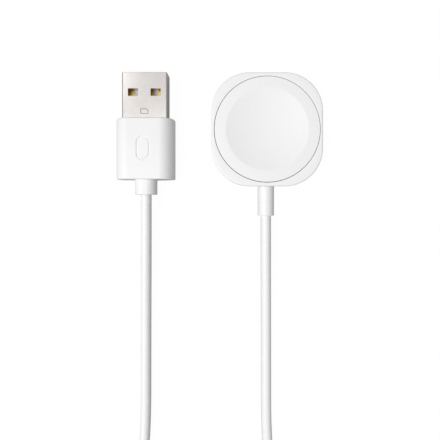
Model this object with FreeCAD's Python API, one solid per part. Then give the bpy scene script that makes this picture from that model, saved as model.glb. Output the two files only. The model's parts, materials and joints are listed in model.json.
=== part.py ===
import FreeCAD
import Part
import math
import os

# Smartwatch charging cable, in millimetres
# The charging head lies on its back with the dish up. The origin is the centre of its base.
# The cord leaves the head towards -Y. The plug lies beside the head on -X and points to +Y.

# Charging face, a round disc with a concave dish that the back of the watch lies in
face_diameter = 27.5
face_rim_thickness = 1.7
face_edge_radius = 0.1
face_proud = 0.1
dish_rim_width = 2.95
dish_depth = 1.1
dish_lip_radius = 0.25
adhesive_thickness = 0.15
adhesive_width = 1.1
adhesive_inset = 0.1

# Outer shell of the head, a rounded square cup that the face is set into
face_seat_gap = 0.12
shell_side_wall = 0.68
shell_end_wall = 1.03
shell_ledge_width = 1.37
shell_floor = 1.2
head_corner_radius = 10.0
head_draft = 0.35
head_base_edge_radius = 1.2
head_top_edge_radius = 0.4
seat_edge_radius = 0.06

# Charging coil, ferrite pot, magnet and steel keeper, stacked under the face
magnet_diameter = 8.0
magnet_gap = 0.05
ferrite_wall_gap = 1.3
ferrite_lip = 0.7
ferrite_base_thickness = 0.7
coil_thickness = 1.0
coil_clearance = 0.1
coil_edge_chamfer = 0.2
keeper_thickness = 0.4
lead_diameter = 0.5
lead_spacing = 2.0
lead_inset = 1.0
lead_hole_clearance = 0.2

# Circuit board and what it carries
board_gap = 0.3
board_thickness = 0.8
board_standoff = 1.0
board_notch_width = 7.0
board_notch_clearance = 1.0
post_diameter = 2.4
post_inset = 1.9
pin_diameter = 1.0
pin_height = 0.4
pin_gap = 0.05
controller_size = (4.0, 4.0, 0.9)
controller_place = (-4.6, -1.5)
driver_size = (3.2, 2.6, 0.8)
driver_place = (4.2, -2.4)
capacitor_size = (0.9, 1.7, 0.8)
capacitor_count = 4
capacitor_pitch = 1.9
capacitor_row = 4.4
component_chamfer = 0.1
component_clearance = 0.3

# Cord and its wires
cord_diameter = 2.85
cord_fit = 0.02
cord_lift = 0.02
head_cord_straight = 8.35
plug_cord_straight = 10.5
wire_diameter = 0.6
wire_spacing = 1.1
wire_straight = 0.7
head_wire_reach = 2.9

# Strain relief of the head: a sleeve outside, a neck in the wall and a flange inside
sleeve_wall = 0.795
sleeve_reach = 7.75
sleeve_end_radius = 0.15
neck_wall = 0.475
neck_gap = 0.02
flange_side = 1.675
flange_thickness = 1.0
flange_clearance = 0.1
flange_corner_radius = 0.8

# Plug shell, a folded steel sheet
plug_x = -32.4
plug_tip_y = 15.5
shell_width = 12.0
shell_height = 4.5
shell_length = 18.75
shell_exposed = 12.3
shell_sheet = 0.3
shell_corner_radius = 0.45
shell_mouth_chamfer = 0.1
shell_seam_gap = 0.06
seam_lock_width = 1.6
seam_lock_length = 1.4
window_width = 2.7
window_length = 2.0
window_spacing = 6.0
window_setback = 5.35
window_corner_radius = 0.15
tab_width = 2.0
tab_length = 1.35
tab_from_body = 1.9
tab_cut = 0.12
tab_chamfer = 0.45
tab_crease_depth = 0.24
tail_width = 5.0
tail_length = 5.0
crimp_length = 2.4
crimp_opening = 1.2
crimp_bare = 0.55
saddle_width = 2.5
saddle_rise = 0.3

# Contact carrier and its four contacts
carrier_gap = 0.03
carrier_setback = 0.8
mouth_depth = 12.0
carrier_tail = 1.2
contact_thickness = 0.25
contact_proud = 0.15
contact_gap = 0.02
power_contact_width = 1.4
data_contact_width = 1.2
power_contact_offset = 4.0
data_contact_offset = 1.4
power_contact_setback = 1.9
data_contact_setback = 2.9
power_contact_tail = 3.0
data_contact_tail = 1.5
contact_nose = 0.8
contact_bend_radius = 0.2

# Moulded body of the plug, with the stub that relieves the cord
body_side_wall = 1.85
body_face_wall = 1.65
body_side_flat = 0.3
body_front_radius = 0.45
body_rear_radius = 0.25
stub_side_wall = 1.525
stub_face_wall = 1.175
stub_side_flat = 0.1
stub_length = 4.05
stub_end_radius = 0.2
thumb_mark_width = 3.6
thumb_mark_length = 6.3
thumb_mark_line = 0.4
thumb_mark_depth = 0.22
inner_mould_cover = 1.2
inner_mould_radius = 1.2
crimp_cover = 0.2
mould_rear_wall = 2.1
mould_fit = 0.01

# Coil of the length that is put away, wound two layers deep and held by a tie
coil_centre = (-16.36, -118.0)
coil_mean_radius = 16.65
coil_whole_turns = 7
coil_lift = 0.5
coil_corner_share = 0.55
head_end_angle = 12.0
plug_end_angle = 168.0
tie_thickness = 0.5
tie_width = 7.0
tie_overlap = 9.0
tie_lap_inset = 0.5

# How far a cutting shape reaches past the surface that it cuts, how much of a straight run a bend
# takes, and how near two places are when they count as one
overshoot = 1.0
bend_share = 0.45
same_place = 0.001

# Places that follow from the sizes above
across = FreeCAD.Vector(1, 0, 0)
along = FreeCAD.Vector(0, 1, 0)
upward = FreeCAD.Vector(0, 0, 1)
face_radius = face_diameter / 2
seat_radius = face_radius + face_seat_gap
cavity_radius = seat_radius - shell_ledge_width
head_width = 2 * (seat_radius + shell_side_wall)
head_length = 2 * (seat_radius + shell_end_wall)
board_under = shell_floor + board_standoff
board_top = board_under + board_thickness
keeper_under = board_top + controller_size[2] + component_clearance
keeper_top = keeper_under + keeper_thickness
coil_under = keeper_top + ferrite_base_thickness
face_under = coil_under + coil_thickness
face_top = face_under + face_rim_thickness
seat_level = face_under - adhesive_thickness
head_height = face_top - face_proud
magnet_radius = magnet_diameter / 2
ferrite_radius = cavity_radius - ferrite_wall_gap
coil_outer_radius = ferrite_radius - ferrite_lip - coil_clearance
board_radius = cavity_radius - board_gap
cord_radius = cord_diameter / 2
cord_height_at_head = (shell_floor + face_under) / 2
sleeve_end_y = -head_length / 2 - sleeve_reach
flange_y = -cavity_radius + flange_thickness
body_width = shell_width + 2 * body_side_wall
body_height = shell_height + 2 * body_face_wall
plug_z = body_height / 2
body_front_y = plug_tip_y - shell_exposed
shell_rear_y = plug_tip_y - shell_length
crimp_front_y = shell_rear_y - tail_length
crimp_rear_y = crimp_front_y - crimp_length
jacket_end_y = crimp_front_y - crimp_bare
inner_mould_rear_y = crimp_rear_y - crimp_cover
body_rear_y = inner_mould_rear_y - mould_rear_wall
stub_end_y = body_rear_y - stub_length
shell_floor_z = plug_z - shell_height / 2 + shell_sheet
tongue_top = plug_z + carrier_gap
contact_top = tongue_top + contact_proud
mouth_end_y = plug_tip_y - mouth_depth
carrier_rear_y = shell_rear_y - carrier_tail
contact_end_y = carrier_rear_y - power_contact_tail

cord_level = cord_radius + cord_lift
coil_turns = coil_whole_turns + (360 - plug_end_angle + head_end_angle) / 360
coil_half_width = cord_diameter * (coil_turns / 2 + 1) / 2


def coil_end(angle, layer):
    """Where the cord joins the outermost turn of one layer of the coil."""
    reach = coil_mean_radius + coil_half_width - cord_radius
    x = coil_centre[0] + reach * math.cos(math.radians(angle))
    y = coil_centre[1] + reach * math.sin(math.radians(angle))
    return x, y, coil_lift + cord_radius + layer * cord_diameter


# Cord routes, chosen by hand: from inside each end, along the surface, to the coil
head_route = (
    (0.0, flange_y, cord_height_at_head),
    (0.0, sleeve_end_y - head_cord_straight, cord_height_at_head),
    (0.30, -56.0, cord_level),
    (0.34, -92.0, cord_level),
    coil_end(head_end_angle, 0),
)
plug_route = (
    (plug_x, jacket_end_y, plug_z),
    (plug_x, stub_end_y - plug_cord_straight, plug_z),
    (plug_x - 0.62, -52.0, cord_level),
    (plug_x - 0.66, -92.0, cord_level),
    coil_end(plug_end_angle, 1),
)


def point(x, y, z):
    return FreeCAD.Vector(x, y, z)


def box(x_range, y_range, z_range):
    size = [high - low for low, high in (x_range, y_range, z_range)]
    return Part.makeBox(*size, point(x_range[0], y_range[0], z_range[0]))


def upright_disc(radius, bottom, top, x=0.0, y=0.0):
    return Part.makeCylinder(radius, top - bottom, point(x, y, bottom), upward)


def rod_along(radius, x, z, near_y, far_y):
    return Part.makeCylinder(radius, far_y - near_y, point(x, near_y, z), along)


def rounded_outline(centre, up, width, height, radius):
    """A rectangle with round corners, in the plane of +X and the given direction."""
    arcs = []
    for quarter in range(4):
        turn = quarter * math.pi / 2
        side = 1 if quarter in (0, 3) else -1
        level = 1 if quarter in (0, 1) else -1
        corner = centre + across * (side * (width / 2 - radius)) + up * (level * (height / 2 - radius))
        three = []
        for step in (0.0, math.pi / 4, math.pi / 2):
            reach = across * math.cos(turn + step) + up * math.sin(turn + step)
            three.append(corner + reach * radius)
        arcs.append(three)
    edges = []
    for quarter in range(4):
        start, middle, end = arcs[quarter]
        following = arcs[(quarter + 1) % 4][0]
        edges.append(Part.Arc(start, middle, end).toShape())
        if end.distanceToPoint(following) > same_place:
            edges.append(Part.LineSegment(end, following).toShape())
    return Part.Wire(edges)


def bar_along(x, z, width, height, radius, near_y, far_y):
    """A bar with a rounded rectangular section that runs along Y."""
    outline = rounded_outline(point(x, near_y, z), upward, width, height, radius)
    return Part.Face(outline).extrude(along * (far_y - near_y))


def ring_of(profile):
    """A closed XZ profile of points turned once about the Z axis."""
    corners = [point(radius, 0, height) for radius, height in profile]
    outline = Part.makePolygon(corners + corners[:1])
    return Part.Face(outline).revolve(point(0, 0, 0), upward, 360)


def edges_at(solid, direction, place):
    """The edges of a solid that lie at one place along a direction."""
    found = []
    for edge in solid.Edges:
        gaps = [abs(vertex.Point.dot(direction) - place) for vertex in edge.Vertexes]
        middle = edge.valueAt((edge.FirstParameter + edge.LastParameter) / 2)
        gaps.append(abs(middle.dot(direction) - place))
        if max(gaps) < same_place:
            found.append(edge)
    return found


def round_path(route):
    """Straight runs joined by tangent arcs as large as the shorter run allows."""
    points = [point(*place) for place in route]
    edges = []
    radii = []
    start = points[0]
    for before, corner, after in zip(points, points[1:], points[2:]):
        into = (corner - before).normalize()
        out_of = (after - corner).normalize()
        half_turn = into.getAngle(out_of) / 2
        reach = bend_share * min(before.distanceToPoint(corner), corner.distanceToPoint(after))
        radius = reach / math.tan(half_turn)
        radii.append(round(radius, 1))
        arc_start = corner - into * reach
        arc_end = corner + out_of * reach
        inward = (out_of - into).normalize()
        arc_middle = corner + inward * (radius / math.cos(half_turn) - radius)
        edges.append(Part.LineSegment(start, arc_start).toShape())
        edges.append(Part.Arc(arc_start, arc_middle, arc_end).toShape())
        start = arc_end
    edges.append(Part.LineSegment(start, points[-1]).toShape())
    return Part.Wire(edges), radii


def tube(route, radius, name):
    """A round tube along a route. It prints its radii and tests its volume."""
    path, radii = round_path(route)
    direction = point(*route[1]) - point(*route[0])
    section = Part.Wire(Part.Circle(point(*route[0]), direction, radius).toShape())
    solid = path.makePipeShell([section], True, False)
    expected = math.pi * radius**2 * path.Length
    share = round(solid.Volume / expected, 6)
    print(name, "arc radii", radii, "length", round(path.Length, 1), "volume share", share)
    return solid


def head_block():
    """The outside of the shell: a rounded square that narrows a little towards the base."""
    narrow = 2 * head_draft
    base = rounded_outline(
        point(0, 0, 0), along, head_width - narrow, head_length - narrow, head_corner_radius - head_draft
    )
    top = rounded_outline(point(0, 0, head_height), along, head_width, head_length, head_corner_radius)
    block = Part.makeLoft([base, top], True)
    block = block.makeFillet(head_base_edge_radius, edges_at(block, upward, 0))
    return block.makeFillet(head_top_edge_radius, edges_at(block, upward, head_height))


def post_places():
    """The four board posts, at the corners between the cable and the coil leads."""
    for quarter in range(4):
        angle = math.radians(45 + 90 * quarter)
        reach = board_radius - post_inset
        yield reach * math.cos(angle), reach * math.sin(angle)


def charger_shell():
    shell = head_block()
    shell = shell.cut(upright_disc(cavity_radius, shell_floor, head_height))
    shell = shell.cut(upright_disc(seat_radius, seat_level, head_height + overshoot))
    shell = shell.makeFillet(seat_edge_radius, seat_rim(shell))
    hole_radius = cord_radius + neck_wall + neck_gap
    hole = rod_along(hole_radius, 0, cord_height_at_head, -head_length, -cavity_radius + overshoot)
    shell = shell.cut(hole)
    for x, y in post_places():
        post = upright_disc(post_diameter / 2, shell_floor, board_under, x, y)
        pin = upright_disc(pin_diameter / 2, board_under, board_top + pin_height, x, y)
        shell = shell.fuse([post, pin])
    return shell.removeSplitter()


def seat_rim(shell):
    """The round edge of the opening in the top of the shell."""
    rims = []
    for edge in edges_at(shell, upward, head_height):
        if isinstance(edge.Curve, Part.Circle) and abs(edge.Curve.Radius - seat_radius) < same_place:
            rims.append(edge)
    return rims


def charging_face():
    dish_radius = face_radius - dish_rim_width
    sphere_radius = (dish_radius**2 + dish_depth**2) / (2 * dish_depth)
    disc = upright_disc(face_radius, face_under, face_top)
    disc = disc.makeFillet(face_edge_radius, edges_at(disc, upward, face_top))
    sphere = Part.makeSphere(sphere_radius, point(0, 0, face_top - dish_depth + sphere_radius))
    disc = disc.cut(sphere)
    lips = []
    for edge in edges_at(disc, upward, face_top):
        if isinstance(edge.Curve, Part.Circle) and abs(edge.Curve.Radius - dish_radius) < same_place:
            lips.append(edge)
    return disc.makeFillet(dish_lip_radius, lips)


def face_adhesive():
    outer = face_radius - adhesive_inset
    ring = upright_disc(outer, seat_level, face_under)
    return ring.cut(upright_disc(outer - adhesive_width, seat_level, face_under))


def lead_places():
    for side in (-1, 1):
        yield side * lead_spacing / 2, coil_outer_radius - lead_inset


def with_lead_holes(solid):
    for x, y in lead_places():
        hole = upright_disc(lead_diameter / 2 + lead_hole_clearance, keeper_under, coil_under, x, y)
        solid = solid.cut(hole)
    return solid


def ferrite_core():
    """A pot of ferrite: a base, an outer lip and a lip round the magnet, open towards the face."""
    bore = magnet_radius + magnet_gap
    profile = (
        (bore, keeper_top),
        (ferrite_radius, keeper_top),
        (ferrite_radius, face_under),
        (ferrite_radius - ferrite_lip, face_under),
        (ferrite_radius - ferrite_lip, coil_under),
        (bore + ferrite_lip, coil_under),
        (bore + ferrite_lip, face_under),
        (bore, face_under),
    )
    return with_lead_holes(ring_of(profile))


def charging_coil():
    inner = magnet_radius + magnet_gap + ferrite_lip + coil_clearance
    ring = upright_disc(coil_outer_radius, coil_under, face_under)
    ring = ring.cut(upright_disc(inner, coil_under, face_under))
    return ring.makeChamfer(coil_edge_chamfer, edges_at(ring, upward, face_under))


def coil_leads():
    leads = [upright_disc(lead_diameter / 2, board_top, coil_under, x, y) for x, y in lead_places()]
    return Part.makeCompound(leads)


def centre_magnet():
    return upright_disc(magnet_radius, keeper_top, face_under)


def steel_keeper():
    return with_lead_holes(upright_disc(ferrite_radius, keeper_under, keeper_top))


def circuit_board():
    board = upright_disc(board_radius, board_under, board_top)
    notch_end = flange_y + board_notch_clearance
    half_notch = board_notch_width / 2
    notch = box((-half_notch, half_notch), (-board_radius - overshoot, notch_end), (board_under, board_top))
    board = board.cut(notch)
    for x, y in post_places():
        board = board.cut(upright_disc(pin_diameter / 2 + pin_gap, board_under, board_top, x, y))
    return board


def chip(size, place):
    width, length, height = size
    x, y = place
    body = box(
        (x - width / 2, x + width / 2), (y - length / 2, y + length / 2), (board_top, board_top + height)
    )
    return body.makeChamfer(component_chamfer, edges_at(body, upward, board_top + height))


def capacitors():
    first = -capacitor_pitch * (capacitor_count - 1) / 2
    places = [(first + capacitor_pitch * index, capacitor_row) for index in range(capacitor_count)]
    return Part.makeCompound([chip(capacitor_size, place) for place in places])


def head_strain_relief():
    """A sleeve moulded round the cord, with a neck in the wall of the shell and a flange inside."""
    sleeve_radius = cord_radius + sleeve_wall
    wall_y = -head_length / 2
    sleeve = rod_along(sleeve_radius, 0, cord_height_at_head, sleeve_end_y, wall_y + head_draft + overshoot)
    sleeve = sleeve.makeFillet(sleeve_end_radius, edges_at(sleeve, along, sleeve_end_y))
    sleeve = sleeve.cut(head_block())
    neck = rod_along(cord_radius + neck_wall, 0, cord_height_at_head, wall_y - overshoot, flange_y)
    flange_width = cord_diameter + 2 * flange_side
    flange_height = face_under - shell_floor - 2 * flange_clearance
    flange_start_y = -cavity_radius - overshoot
    flange = bar_along(
        0, cord_height_at_head, flange_width, flange_height, flange_corner_radius, flange_start_y, flange_y
    )
    flange = flange.common(upright_disc(cavity_radius, 0, head_height))
    bore_start_y = sleeve_end_y - overshoot
    bore = rod_along(cord_radius + cord_fit, 0, cord_height_at_head, bore_start_y, flange_y + overshoot)
    return sleeve.fuse([neck, flange]).removeSplitter().cut(bore)


def head_wire(side):
    """One wire from the end of the jacket to its pad on the board."""
    x = side * wire_spacing / 2
    route = (
        (x, flange_y, cord_height_at_head),
        (x, flange_y + head_wire_reach, cord_height_at_head),
        (x, flange_y + head_wire_reach, board_top),
    )
    return tube(route, wire_diameter / 2, "head wire")


def window_cuts(level):
    """The two latch windows through one broad side of the plug shell."""
    window_y = plug_tip_y - window_setback
    cuts = []
    for side in (-1, 1):
        centre = point(plug_x + side * window_spacing / 2, window_y, level - shell_sheet)
        outline = rounded_outline(centre, along, window_width, window_length, window_corner_radius)
        cuts.append(Part.Face(outline).extrude(upward * (2 * shell_sheet)))
    return cuts


def tab_slit():
    """The line round the lanced tab: slit on three sides, and only creased where the tab hinges."""
    top = plug_z + shell_height / 2
    under = top - 2 * shell_sheet
    front = body_front_y + tab_from_body + tab_length / 2
    rear = front - tab_length
    left = plug_x - tab_width / 2
    right = plug_x + tab_width / 2
    corners = (
        (left, rear),
        (left, front),
        (right - tab_chamfer, front),
        (right, front - tab_chamfer),
        (right, rear),
        (left, rear),
    )
    tab = Part.Face(Part.makePolygon([point(x, y, under) for x, y in corners]))
    slit = tab.cut(tab.makeOffset2D(-tab_cut)).extrude(upward * (3 * shell_sheet))
    hinge = box(
        (left + tab_cut, right - tab_cut), (rear - tab_cut, rear + tab_cut), (under, top - tab_crease_depth)
    )
    return slit.cut(hinge)


def plug_shell():
    """One sheet folded to a tube, with windows, a lanced tab, a locked seam and a crimp at the tail."""
    outer = bar_along(
        plug_x, plug_z, shell_width, shell_height, shell_corner_radius, shell_rear_y, plug_tip_y
    )
    outer = outer.makeChamfer(shell_mouth_chamfer, edges_at(outer, along, plug_tip_y))
    inner = bar_along(
        plug_x,
        plug_z,
        shell_width - 2 * shell_sheet,
        shell_height - 2 * shell_sheet,
        shell_corner_radius - shell_sheet,
        shell_rear_y - overshoot,
        plug_tip_y + overshoot,
    )
    shell = outer.cut(inner)
    cuts = window_cuts(plug_z + shell_height / 2) + window_cuts(plug_z - shell_height / 2)
    cuts.append(tab_slit())
    cuts.append(shell_seam())
    return shell.cut(cuts).fuse(crimp_tail())


def shell_seam():
    """The slit where the sheet closes on the underside, with a square lock half way along."""
    under = (plug_z - shell_height / 2 - overshoot, shell_floor_z + overshoot)
    half = shell_seam_gap / 2
    lock_y = plug_tip_y - shell_exposed / 2
    near = lock_y - seam_lock_length / 2
    far = lock_y + seam_lock_length / 2
    side = plug_x + seam_lock_width
    lower = box((plug_x - half, plug_x + half), (body_front_y - overshoot, near), under)
    upper = box((plug_x - half, plug_x + half), (far, plug_tip_y + overshoot), under)
    near_step = box((plug_x - half, side + half), (near - shell_seam_gap, near), under)
    far_step = box((plug_x - half, side + half), (far, far + shell_seam_gap), under)
    turn = box((side - half, side + half), (near, far), under)
    return lower.fuse([upper, near_step, far_step, turn])


def crimp_tail():
    """The strap that carries on from the floor of the shell and the open ring that grips the cord."""
    under = shell_floor_z - shell_sheet
    ring_inner = cord_radius + cord_fit
    ring_outer = ring_inner + shell_sheet
    half = tail_width / 2
    strap = box((plug_x - half, plug_x + half), (crimp_front_y, shell_rear_y), (under, shell_floor_z))
    ring = rod_along(ring_outer, plug_x, plug_z, crimp_rear_y, crimp_front_y)
    ring = ring.cut(rod_along(ring_inner, plug_x, plug_z, crimp_rear_y, crimp_front_y))
    opening = box(
        (plug_x - crimp_opening / 2, plug_x + crimp_opening / 2),
        (crimp_rear_y, crimp_front_y),
        (plug_z, plug_z + ring_outer),
    )
    saddle = box(
        (plug_x - saddle_width / 2, plug_x + saddle_width / 2),
        (crimp_rear_y, crimp_front_y + shell_sheet),
        (under, plug_z - ring_inner + saddle_rise),
    )
    saddle = saddle.cut(cord_rod(crimp_rear_y - overshoot, crimp_front_y + overshoot))
    return strap.fuse([ring.cut(opening), saddle])


def contact_shape(offset, width, setback, tail, clearance):
    """One strip: a nose that dips into the tongue, a flat run and a solder tail."""
    low = contact_top - contact_thickness - clearance
    high = contact_top + clearance
    half = width / 2 + clearance
    front = plug_tip_y - setback
    x_range = (plug_x + offset - half, plug_x + offset + half)
    strip = box(x_range, (carrier_rear_y - tail, front), (low, high))
    nose_range = (front - contact_thickness - clearance, front + clearance)
    nose = box(x_range, nose_range, (low - contact_nose, high))
    return strip.fuse(nose).removeSplitter()


power_contact = (power_contact_width, power_contact_setback, power_contact_tail)
data_contact = (data_contact_width, data_contact_setback, data_contact_tail)
contact_list = {
    "contact_power": (power_contact_offset, *power_contact),
    "contact_data_minus": (data_contact_offset, *data_contact),
    "contact_data_plus": (-data_contact_offset, *data_contact),
    "contact_ground": (-power_contact_offset, *power_contact),
}


def contact(name):
    strip = contact_shape(*contact_list[name], 0.0)
    front_y = plug_tip_y - contact_list[name][2]
    top_edges = edges_at(strip, upward, contact_top)
    bend = [edge for edge in top_edges if edge.BoundBox.YMin > front_y - same_place]
    return strip.makeFillet(contact_bend_radius, bend)


def contact_carrier():
    """The tongue that carries the contacts, and the block behind it that fills the shell."""
    width = shell_width - 2 * shell_sheet - 2 * carrier_gap
    height = shell_height - 2 * shell_sheet - 2 * carrier_gap
    radius = shell_corner_radius - shell_sheet
    block = bar_along(plug_x, plug_z, width, height, radius, carrier_rear_y, plug_tip_y - carrier_setback)
    mouth = box(
        (plug_x - shell_width, plug_x + shell_width),
        (mouth_end_y, plug_tip_y + overshoot),
        (tongue_top, tongue_top + shell_height),
    )
    block = block.cut(mouth)
    for sizes in contact_list.values():
        block = block.cut(contact_shape(*sizes, contact_gap))
    return block


def plug_wire(side):
    """One wire from the end of the jacket to the tail of its contact."""
    level = contact_top + wire_diameter / 2
    near_x = plug_x + side * wire_spacing / 2
    far_x = plug_x + side * power_contact_offset
    route = (
        (near_x, jacket_end_y, level),
        (near_x, jacket_end_y + wire_straight, level),
        (far_x, contact_end_y, level),
        (far_x, carrier_rear_y - wire_straight, level),
    )
    return tube(route, wire_diameter / 2, "plug wire")


def inner_mould():
    """The plastic moulded over the rear of the carrier, the solder joints and the crimp."""
    block = inner_mould_bar(0.0)
    for name in contact_list:
        block = block.cut(contact(name))
    cord_room = cord_rod(inner_mould_rear_y - overshoot, jacket_end_y)
    block = block.cut([contact_carrier(), crimp_tail(), cord_room])
    return block.cut([plug_wire(1), plug_wire(-1)])


def inner_mould_bar(gap):
    """The outside of the inner mould, or the room for it with a gap all round."""
    width = shell_width - 2 * shell_sheet + 2 * gap
    height = body_height - 2 * inner_mould_cover + 2 * gap
    radius = inner_mould_radius + gap
    return bar_along(plug_x, plug_z, width, height, radius, inner_mould_rear_y - gap, shell_rear_y)


def cord_rod(near_y, far_y):
    """The room that the cord takes inside the plug."""
    return rod_along(cord_radius + cord_fit, plug_x, plug_z, near_y, far_y)


def thumb_mark():
    """A shallow oval line on the flat of the moulded body."""
    middle_y = (body_front_y + body_rear_y) / 2
    centre = point(plug_x, middle_y, body_height - thumb_mark_depth)
    outer = rounded_outline(centre, along, thumb_mark_width, thumb_mark_length, thumb_mark_width / 2)
    inner = rounded_outline(
        centre,
        along,
        thumb_mark_width - 2 * thumb_mark_line,
        thumb_mark_length - 2 * thumb_mark_line,
        thumb_mark_width / 2 - thumb_mark_line,
    )
    return Part.Face(outer).cut(Part.Face(inner)).extrude(upward * (2 * thumb_mark_depth))


def plug_housing():
    """The body moulded over the plug, with its strain relief stub in one piece."""
    side_radius = (body_height - body_side_flat) / 2
    body = bar_along(plug_x, plug_z, body_width, body_height, side_radius, body_rear_y, body_front_y)
    body = body.makeFillet(body_front_radius, edges_at(body, along, body_front_y))
    body = body.makeFillet(body_rear_radius, edges_at(body, along, body_rear_y))
    stub_width = cord_diameter + 2 * stub_side_wall
    stub_height = cord_diameter + 2 * stub_face_wall
    stub_radius = (stub_height - stub_side_flat) / 2
    stub_front_y = body_rear_y + overshoot
    stub = bar_along(plug_x, plug_z, stub_width, stub_height, stub_radius, stub_end_y, stub_front_y)
    stub = stub.makeFillet(stub_end_radius, edges_at(stub, along, stub_end_y))
    body = body.fuse(stub).removeSplitter()
    shell_room = bar_along(
        plug_x,
        plug_z,
        shell_width + 2 * mould_fit,
        shell_height + 2 * mould_fit,
        shell_corner_radius + mould_fit,
        shell_rear_y,
        body_front_y + overshoot,
    )
    cord_room = cord_rod(stub_end_y - overshoot, shell_rear_y)
    return body.cut([shell_room, inner_mould_bar(mould_fit), cord_room, thumb_mark()])


def coil_section(growth):
    """The section of the wound coil, grown by a thickness, as a face in the XZ plane at the centre."""
    half_width = coil_half_width + growth
    half_height = cord_diameter + growth
    cut = coil_corner_share * cord_radius + growth / 2
    middle = point(coil_centre[0] + coil_mean_radius, coil_centre[1], coil_lift + cord_diameter)
    corners = []
    for side, level in ((1, 1), (-1, 1), (-1, -1), (1, -1)):
        flank = middle + across * (side * half_width) + upward * (level * (half_height - cut))
        crown = middle + across * (side * (half_width - cut)) + upward * (level * half_height)
        corners += [flank, crown] if side == level else [crown, flank]
    return Part.Face(Part.makePolygon(corners + corners[:1]))


def coil_sweep(growth, degrees):
    x, y = coil_centre
    section = coil_section(growth)
    section.rotate(point(x, y, 0), upward, -90 - degrees / 2)
    return section.revolve(point(x, y, 0), upward, degrees)


def cord_coil():
    x, y = coil_centre
    return coil_section(0.0).revolve(point(x, y, 0), upward, 360)


def coil_tie():
    """A strap round the turns, with its end lapped over on top of the coil."""
    strap = coil_sweep(tie_thickness, math.degrees(tie_width / coil_mean_radius))
    lap_width = tie_width - 2 * tie_lap_inset
    lap = coil_sweep(2 * tie_thickness, math.degrees(lap_width / coil_mean_radius))
    x, y = coil_centre
    lap_room = box(
        (x - tie_width, x + tie_width),
        (y - coil_mean_radius - tie_overlap / 2, y - coil_mean_radius + tie_overlap / 2),
        (coil_lift + cord_diameter, coil_lift + 4 * cord_diameter),
    )
    return strap.fuse(lap.common(lap_room)).cut(cord_coil())


def cord_run(route, name):
    """A stretch of cord that isn't coiled. It ends on the outside of the coil."""
    return tube(route, cord_radius, name).cut(cord_coil())


def build():
    os.makedirs("parts", exist_ok=True)
    pieces = {
        "charger_shell": charger_shell(),
        "charging_face": charging_face(),
        "face_adhesive_ring": face_adhesive(),
        "charging_coil": charging_coil(),
        "coil_leads": coil_leads(),
        "ferrite_core": ferrite_core(),
        "centre_magnet": centre_magnet(),
        "steel_keeper": steel_keeper(),
        "circuit_board": circuit_board(),
        "controller_chip": chip(controller_size, controller_place),
        "driver_chip": chip(driver_size, driver_place),
        "capacitors": capacitors(),
        "head_strain_relief": head_strain_relief(),
        "head_power_wire": head_wire(1),
        "head_ground_wire": head_wire(-1),
        "plug_shell": plug_shell(),
        "contact_carrier": contact_carrier(),
        "inner_mould": inner_mould(),
        "plug_housing": plug_housing(),
        "plug_power_wire": plug_wire(1),
        "plug_ground_wire": plug_wire(-1),
        "cord_head_run": cord_run(head_route, "cord to the head"),
        "cord_plug_run": cord_run(plug_route, "cord to the plug"),
        "cord_coil": cord_coil(),
        "coil_tie": coil_tie(),
    }
    for name in contact_list:
        pieces[name] = contact(name)
    for name, shape in pieces.items():
        shape.exportStep("parts/" + name + ".step")
        print(name, "solids", len(shape.Solids), "valid", shape.isValid(), "volume", round(shape.Volume, 2))


build()
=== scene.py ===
# %% [markdown]
# # A smartwatch charging cable
# The cable has three things to show: a white charging head with a concave face, a plug with a
# folded steel shell, and one metre of thin white cord between them. The construction is already
# solid and sized. This script gives every surface its finish, and rebuilds the soft and moulded
# pieces as finer meshes, in metres and in the same frame as the solids. Sizes are written in
# millimetres and turned into metres where Blender needs them.

# %% Load the solids
import json
import math
import bmesh
import bpy
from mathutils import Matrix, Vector


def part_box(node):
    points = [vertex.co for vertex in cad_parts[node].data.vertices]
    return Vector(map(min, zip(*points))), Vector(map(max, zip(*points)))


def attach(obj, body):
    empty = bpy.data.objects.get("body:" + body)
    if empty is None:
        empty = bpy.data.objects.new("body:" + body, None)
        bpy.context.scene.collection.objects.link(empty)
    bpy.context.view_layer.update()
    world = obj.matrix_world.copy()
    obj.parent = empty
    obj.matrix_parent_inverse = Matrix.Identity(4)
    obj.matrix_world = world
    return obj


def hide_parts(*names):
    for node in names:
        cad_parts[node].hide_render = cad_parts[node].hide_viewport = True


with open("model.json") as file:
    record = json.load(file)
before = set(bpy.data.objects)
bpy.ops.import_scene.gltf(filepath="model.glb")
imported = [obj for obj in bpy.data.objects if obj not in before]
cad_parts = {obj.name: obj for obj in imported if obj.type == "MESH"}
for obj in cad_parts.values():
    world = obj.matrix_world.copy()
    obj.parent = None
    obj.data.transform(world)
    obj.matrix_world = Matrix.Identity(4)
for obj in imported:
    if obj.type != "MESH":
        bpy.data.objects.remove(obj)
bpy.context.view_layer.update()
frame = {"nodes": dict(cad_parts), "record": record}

MM = 0.001


def in_mm(values):
    """Metres as rounded millimetres, for printing."""
    return [round(value / MM, 2) for value in values]


# %% [markdown]
# ## Camera
# The picture is taken from straight above with a wide lens held close, so the lower things in it
# look a little smaller than the higher ones, and the inner side of the plug shell shows. The
# camera stands over a spot between the two ends. Turning it would frame the picture too, but the
# cords would lean. Shifting the lens frames it and keeps them upright.

# %% Camera
camera_spot = Vector((-9.70, -18.44, 100.0)) * MM
picture_size = 440
pixel_below_camera = (230, 200)
lens = 28.99

camera = bpy.data.objects.new("camera", bpy.data.cameras.new("camera"))
bpy.context.scene.collection.objects.link(camera)
camera.location = camera_spot
camera.data.lens = lens
camera.data.clip_start = 1 * MM
camera.data.shift_x = (picture_size / 2 - pixel_below_camera[0]) / picture_size
camera.data.shift_y = (pixel_below_camera[1] - picture_size / 2) / picture_size
bpy.context.scene.camera = camera
print("camera at", in_mm(camera_spot), "shift", camera.data.shift_x, camera.data.shift_y)

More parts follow.
